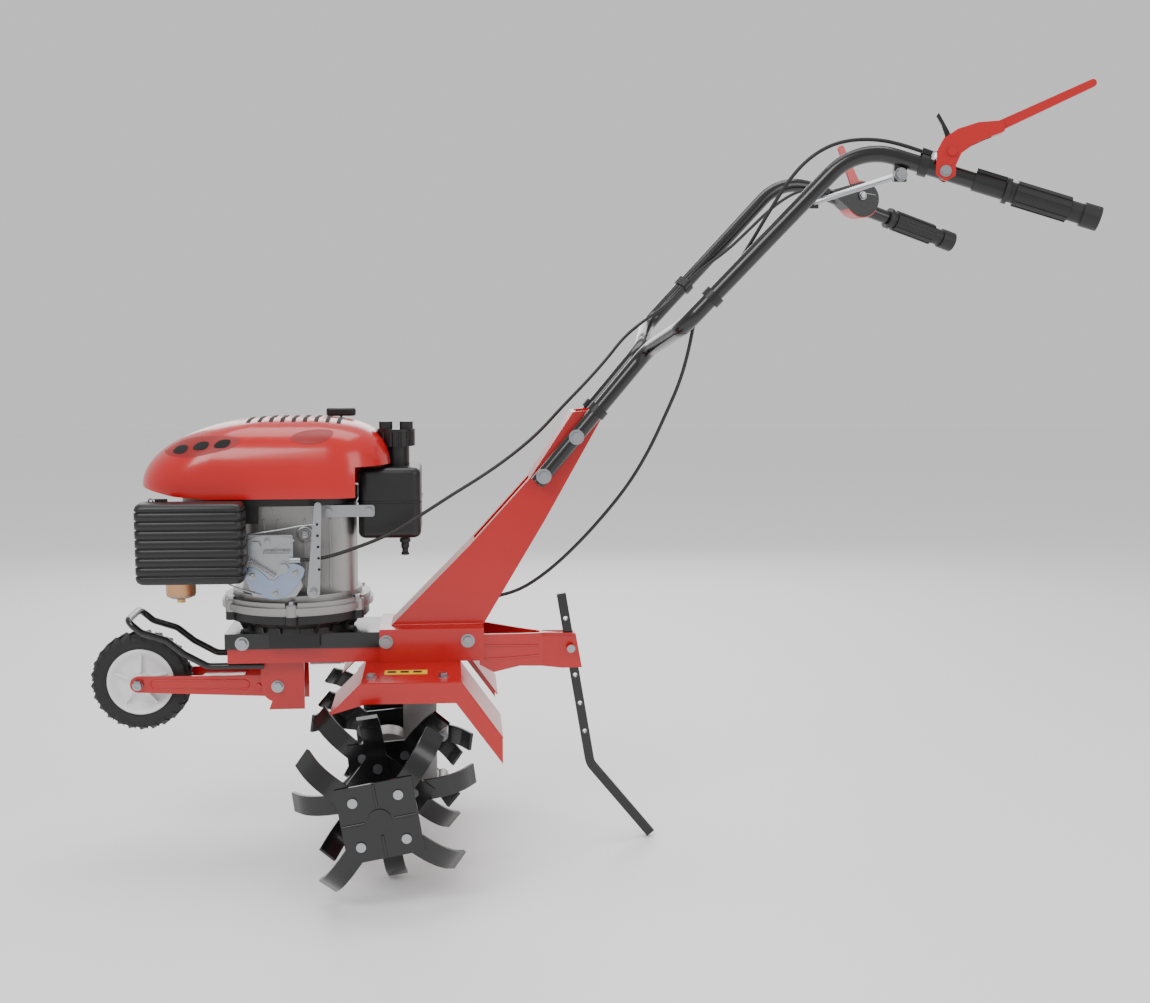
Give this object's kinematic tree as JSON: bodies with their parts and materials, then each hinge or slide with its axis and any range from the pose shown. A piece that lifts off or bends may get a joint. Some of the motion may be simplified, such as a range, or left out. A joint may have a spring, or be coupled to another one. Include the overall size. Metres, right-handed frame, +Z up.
{
  "type": "tiller",
  "caption": "Walk-behind petrol tiller with vertical-shaft engine, belt and worm drive, curved tines, fold-up front wheel and long handlebars.",
  "frame": {"origin": "on the ground under the middle of the tine axle, in the machine's centre plane", "axes": "+X rearward to the grips, +Y to the machine's right, +Z up"},
  "size_m": [1.3799, 0.6378, 1.0934],
  "materials": {
    "red_paint": "gloss",
    "black_paint": "semi-gloss",
    "red_plastic": "gloss",
    "black_plastic": "satin",
    "white_plastic": "satin",
    "rubber": "matte",
    "tyre_rubber": "matte",
    "cast_aluminium": "cast",
    "zinc_steel": "zinc plated",
    "steel": "machined",
    "brass": "machined"
  },
  "bodies": {
    "frame": {"air_filter_base": "black_plastic", "air_filter_cover": "black_plastic", "blower_housing": "black_plastic", "bumper": "black_paint", "carburettor": "cast_aluminium", "clutch_cable": "rubber", "control_plate": "zinc_steel", "crankcase": "cast_aluminium", "crossbar": "zinc_steel", "engine_deck": "black_paint", "engine_mount": "black_plastic", "engine_shroud": "red_plastic", "engine_sump": "cast_aluminium", "fender_left": "red_paint", "fender_lips": "red_paint", "fender_right": "red_paint", "frame_bolts": "zinc_steel", "frame_channel": "red_paint", "front_bracket": "red_paint", "fuel_tank": "black_plastic", "gearbox_left": "cast_aluminium", "gearbox_right": "cast_aluminium", "grip_left": "rubber", "grip_right": "rubber", "handle_post": "red_paint", "handlebar_left": "black_paint", "handlebar_right": "black_paint", "hitch_bracket": "red_paint", "idler_spring": "zinc_steel", "muffler": "zinc_steel", "shaft_bearings": "steel", "spark_plug": "zinc_steel", "tank_bracket": "zinc_steel", "throttle_cable": "rubber", "throttle_housing": "black_plastic", "tube_clips": "black_plastic", "v_belt": "rubber"},
    "tines": {"tine_axle": "black_paint", "inner_hubs": "black_paint", "outer_hubs": "black_paint", "tine_blades": "black_paint", "tine_bolts": "zinc_steel", "worm_wheel": "brass"},
    "worm": {"worm_shaft": "steel", "driven_pulley": "steel"},
    "crank": {"crankshaft": "steel", "drive_pulley": "steel"},
    "clutch": {"clutch_lever": "red_paint"},
    "lock": {"lever_lock": "black_plastic"},
    "idler": {"idler_arm": "zinc_steel"},
    "idler_wheel": {"idler_pulley": "steel"},
    "throttle": {"throttle_lever": "red_plastic"},
    "governor": {"governor_arm": "zinc_steel"},
    "wheel_fork": {"wheel_arms": "red_paint", "wheel_axle": "zinc_steel"},
    "front_wheel": {"wheel_rim": "white_plastic", "tyre": "tyre_rubber"},
    "stake": {"depth_stake": "black_paint"},
    "cap": {"fuel_cap": "black_plastic"},
    "starter": {"starter_handle": "black_plastic"}
  },
  "joints": [
    {"name": "tine_spin", "type": "hinge", "parent": "frame", "child": "tines", "pos_m": [0, 0, 0.13], "axis": [0, -1, 0], "continuous": true},
    {"name": "worm_spin", "type": "hinge", "parent": "frame", "child": "worm", "pos_m": [0.048, 0, 0.13], "axis": [0, 0, 1], "continuous": true},
    {"name": "crank_spin", "type": "hinge", "parent": "frame", "child": "crank", "pos_m": [-0.129, 0, 0.4], "axis": [0, 0, 1], "continuous": true},
    {"name": "clutch_squeeze", "type": "hinge", "parent": "frame", "child": "clutch", "pos_m": [0.74869, -0.26147, 0.97829], "axis": [0.2109, 0.9775, 0], "range_deg": [0, 38], "stiffness_Nm_per_rad": 4, "springref_deg": -22.92},
    {"name": "lock_press", "type": "hinge", "parent": "clutch", "child": "lock", "pos_m": [0.75602, -0.26305, 1.00339], "axis": [0.2109, 0.9775, 0], "range_deg": [0, 15], "stiffness_Nm_per_rad": 0.2, "springref_deg": -17.19},
    {"name": "idler_swing", "type": "hinge", "parent": "frame", "child": "idler", "pos_m": [-0.084, -0.006, 0.32], "axis": [0, 0, 1], "range_deg": [0, 10.5], "deforming": ["idler_spring"]},
    {"name": "idler_spin", "type": "hinge", "parent": "idler", "child": "idler_wheel", "pos_m": [-0.042, 0.009, 0.309], "axis": [0, 0, 1], "continuous": true},
    {"name": "throttle_turn", "type": "hinge", "parent": "frame", "child": "throttle", "pos_m": [0.76461, 0.2649, 0.98644], "axis": [-0.2109, 0.9775, 0], "range_deg": [0, 60]},
    {"name": "governor_turn", "type": "hinge", "parent": "frame", "child": "governor", "pos_m": [-0.097, -0.1055, 0.404], "axis": [0, 1, 0], "range_deg": [0, 15]},
    {"name": "wheel_fold", "type": "hinge", "parent": "frame", "child": "wheel_fork", "pos_m": [-0.1579, 0, 0.2523], "axis": [0, -1, 0], "range_deg": [0, 60]},
    {"name": "front_wheel_spin", "type": "hinge", "parent": "wheel_fork", "child": "front_wheel", "pos_m": [-0.359, 0, 0.2575], "axis": [0, 1, 0], "continuous": true},
    {"name": "stake_slide", "type": "slide", "parent": "frame", "child": "stake", "axis": [-0.1658, 0, 0.9862], "range_m": [-0.044, 0.088]},
    {"name": "fuel_cap_turn", "type": "hinge", "parent": "frame", "child": "cap", "pos_m": [0.018, 0, 0.61], "axis": [0, 0, 1], "range_deg": [0, 90]},
    {"name": "starter_pull", "type": "slide", "parent": "frame", "child": "starter", "axis": [0, 0, 1], "range_m": [0, 0.04], "stiffness_N_per_m": 30, "springref_m": -0.05}
  ],
  "couplings": [
    {"joint": "worm_spin", "follows": "tine_spin", "ratio": -30},
    {"joint": "idler_swing", "follows": "clutch_squeeze", "ratio": 0.27632},
    {"joint": "governor_turn", "follows": "throttle_turn", "ratio": 0.25}
  ]
}
